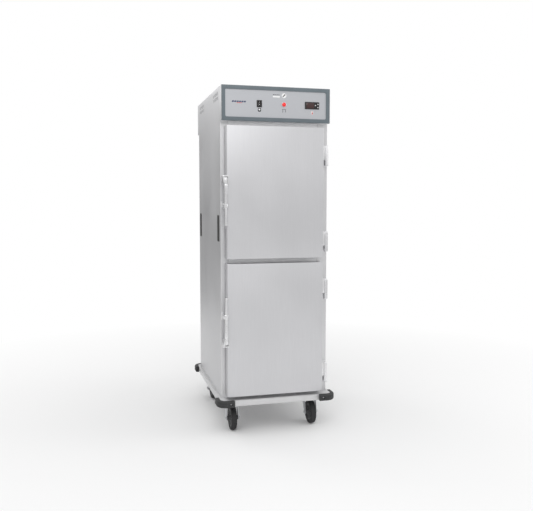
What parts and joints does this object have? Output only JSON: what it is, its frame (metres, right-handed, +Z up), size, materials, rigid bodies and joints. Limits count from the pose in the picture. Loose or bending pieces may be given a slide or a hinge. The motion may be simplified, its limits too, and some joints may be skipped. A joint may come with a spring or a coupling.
{
  "type": "proofing cabinet",
  "caption": "Tall pass-through proofing cabinet on swivel casters, with stacked insulated doors at both ends, lever latches, a control header, tray slides and corner bumpers.",
  "frame": {"origin": "on the floor, under the middle of the cabinet", "axes": "+Z up, -Y out of the control panel, +X to the right seen from the front"},
  "size_m": [0.6466, 0.8712, 1.812],
  "materials": {
    "body_steel": "satin",
    "door_steel": "satin",
    "base_steel": "satin",
    "liner_steel": "bright",
    "bezel_paint": "satin",
    "fascia_plate": "satin",
    "polished_fitting": "polished",
    "zinc_fitting": "zinc plated",
    "black_plastic": "matte",
    "gloss_black": "gloss",
    "red_lens": "gloss",
    "key_plastic": "gloss",
    "bumper_rubber": "matte",
    "gasket_rubber": "matte",
    "wheel_rubber": "matte",
    "mineral_wool": "matte",
    "heater_sheath": "matt"
  },
  "bodies": {
    "cabinet": {"base_frame": "base_steel", "corner_bumpers": "bumper_rubber", "left_side_panel": "body_steel", "right_side_panel": "body_steel", "hand_grips": "black_plastic", "door_frames": "body_steel", "header_cover": "body_steel", "cavity_liner": "liner_steel", "wall_insulation": "mineral_wool", "tray_slides": "liner_steel", "rack_uprights": "liner_steel", "fan_motor": "zinc_fitting", "heater_elements": "heater_sheath", "control_bezel": "bezel_paint", "control_fascia": "fascia_plate", "switch_housing": "black_plastic", "pilot_lamp": "red_lens", "thermostat_case": "gloss_black", "cord_gland": "black_plastic", "caster_tops": "zinc_fitting", "hinge_frame_leaves": "polished_fitting", "latch_strikes": "polished_fitting"},
    "fan": {"fan_wheel": "zinc_fitting"},
    "water_pan": {"water_pan": "liner_steel"},
    "rocker": {"switch_rocker": "gloss_black"},
    "key_1": {"thermostat_key_1": "key_plastic"},
    "key_2": {"thermostat_key_2": "key_plastic"},
    "key_3": {"thermostat_key_3": "key_plastic"},
    "front_upper_door": {"front_upper_door_skin": "door_steel", "front_upper_door_liner": "liner_steel", "front_upper_door_gasket": "gasket_rubber", "front_upper_hinge_leaves": "polished_fitting", "front_upper_latch_bracket": "polished_fitting"},
    "front_upper_lever": {"front_upper_latch_lever": "polished_fitting"},
    "front_lower_door": {"front_lower_door_skin": "door_steel", "front_lower_door_liner": "liner_steel", "front_lower_door_gasket": "gasket_rubber", "front_lower_hinge_leaves": "polished_fitting", "front_lower_latch_bracket": "polished_fitting"},
    "front_lower_lever": {"front_lower_latch_lever": "polished_fitting"},
    "rear_upper_door": {"rear_upper_door_skin": "door_steel", "rear_upper_door_liner": "liner_steel", "rear_upper_door_gasket": "gasket_rubber", "rear_upper_hinge_leaves": "polished_fitting", "rear_upper_latch_bracket": "polished_fitting"},
    "rear_upper_lever": {"rear_upper_latch_lever": "polished_fitting"},
    "rear_lower_door": {"rear_lower_door_skin": "door_steel", "rear_lower_door_liner": "liner_steel", "rear_lower_door_gasket": "gasket_rubber", "rear_lower_hinge_leaves": "polished_fitting", "rear_lower_latch_bracket": "polished_fitting"},
    "rear_lower_lever": {"rear_lower_latch_lever": "polished_fitting"},
    "front_left_fork": {"front_left_caster_fork": "zinc_fitting"},
    "front_left_wheel": {"front_left_caster_wheel": "wheel_rubber"},
    "rear_left_fork": {"rear_left_caster_fork": "zinc_fitting"},
    "rear_left_wheel": {"rear_left_caster_wheel": "wheel_rubber"},
    "front_right_fork": {"front_right_caster_fork": "zinc_fitting"},
    "front_right_wheel": {"front_right_caster_wheel": "wheel_rubber"},
    "rear_right_fork": {"rear_right_caster_fork": "zinc_fitting"},
    "rear_right_wheel": {"rear_right_caster_wheel": "wheel_rubber"}
  },
  "joints": [
    {"name": "fan_spin", "type": "hinge", "parent": "cabinet", "child": "fan", "pos_m": [0, 0, 1.592], "axis": [0, 0, 1], "continuous": true},
    {"name": "water_pan_lift", "type": "slide", "parent": "cabinet", "child": "water_pan", "axis": [0, 0, 1], "range_m": [0, 0.1]},
    {"name": "rocker_tilt", "type": "hinge", "parent": "cabinet", "child": "rocker", "pos_m": [-0.0909, -0.384, 1.723], "axis": [1, 0, 0], "range_deg": [0, 16]},
    {"name": "key_1_press", "type": "slide", "parent": "cabinet", "child": "key_1", "axis": [0, 1, 0], "range_m": [0, 0.0008], "stiffness_N_per_m": 600, "springref_m": -0.0008},
    {"name": "key_2_press", "type": "slide", "parent": "cabinet", "child": "key_2", "axis": [0, 1, 0], "range_m": [0, 0.0008], "stiffness_N_per_m": 600, "springref_m": -0.0008},
    {"name": "key_3_press", "type": "slide", "parent": "cabinet", "child": "key_3", "axis": [0, 1, 0], "range_m": [0, 0.0008], "stiffness_N_per_m": 600, "springref_m": -0.0008},
    {"name": "front_upper_door_hinge", "type": "hinge", "parent": "cabinet", "child": "front_upper_door", "pos_m": [0.274, -0.388, 1.26875], "axis": [0, 0, 1], "range_deg": [0, 200]},
    {"name": "front_upper_latch_pull", "type": "hinge", "parent": "front_upper_door", "child": "front_upper_lever", "pos_m": [-0.2745, -0.424, 1.3395], "axis": [-1, 0, 0], "range_deg": [0, 30], "stiffness_Nm_per_rad": 0.6, "springref_deg": -28.65},
    {"name": "front_lower_door_hinge", "type": "hinge", "parent": "cabinet", "child": "front_lower_door", "pos_m": [0.274, -0.388, 0.556], "axis": [0, 0, 1], "range_deg": [0, 200]},
    {"name": "front_lower_latch_pull", "type": "hinge", "parent": "front_lower_door", "child": "front_lower_lever", "pos_m": [-0.2745, -0.424, 0.493], "axis": [1, 0, 0], "range_deg": [0, 30], "stiffness_Nm_per_rad": 0.6, "springref_deg": -28.65},
    {"name": "rear_upper_door_hinge", "type": "hinge", "parent": "cabinet", "child": "rear_upper_door", "pos_m": [-0.274, 0.388, 1.26875], "axis": [0, 0, 1], "range_deg": [0, 200]},
    {"name": "rear_upper_latch_pull", "type": "hinge", "parent": "rear_upper_door", "child": "rear_upper_lever", "pos_m": [0.2745, 0.424, 1.3395], "axis": [1, 0, 0], "range_deg": [0, 30], "stiffness_Nm_per_rad": 0.6, "springref_deg": -28.65},
    {"name": "rear_lower_door_hinge", "type": "hinge", "parent": "cabinet", "child": "rear_lower_door", "pos_m": [-0.274, 0.388, 0.556], "axis": [0, 0, 1], "range_deg": [0, 200]},
    {"name": "rear_lower_latch_pull", "type": "hinge", "parent": "rear_lower_door", "child": "rear_lower_lever", "pos_m": [0.2745, 0.424, 0.493], "axis": [-1, 0, 0], "range_deg": [0, 30], "stiffness_Nm_per_rad": 0.6, "springref_deg": -28.65},
    {"name": "front_left_swivel", "type": "hinge", "parent": "cabinet", "child": "front_left_fork", "pos_m": [-0.221, -0.269, 0.159], "axis": [0, 0, 1], "continuous": true},
    {"name": "front_left_roll", "type": "hinge", "parent": "front_left_fork", "child": "front_left_wheel", "pos_m": [-0.221, -0.301, 0.0635], "axis": [1, 0, 0], "continuous": true},
    {"name": "rear_left_swivel", "type": "hinge", "parent": "cabinet", "child": "rear_left_fork", "pos_m": [-0.221, 0.269, 0.159], "axis": [0, 0, 1], "continuous": true},
    {"name": "rear_left_roll", "type": "hinge", "parent": "rear_left_fork", "child": "rear_left_wheel", "pos_m": [-0.221, 0.301, 0.0635], "axis": [1, 0, 0], "continuous": true},
    {"name": "front_right_swivel", "type": "hinge", "parent": "cabinet", "child": "front_right_fork", "pos_m": [0.221, -0.269, 0.159], "axis": [0, 0, 1], "continuous": true},
    {"name": "front_right_roll", "type": "hinge", "parent": "front_right_fork", "child": "front_right_wheel", "pos_m": [0.221, -0.301, 0.0635], "axis": [1, 0, 0], "continuous": true},
    {"name": "rear_right_swivel", "type": "hinge", "parent": "cabinet", "child": "rear_right_fork", "pos_m": [0.221, 0.269, 0.159], "axis": [0, 0, 1], "continuous": true},
    {"name": "rear_right_roll", "type": "hinge", "parent": "rear_right_fork", "child": "rear_right_wheel", "pos_m": [0.221, 0.301, 0.0635], "axis": [1, 0, 0], "continuous": true}
  ]
}
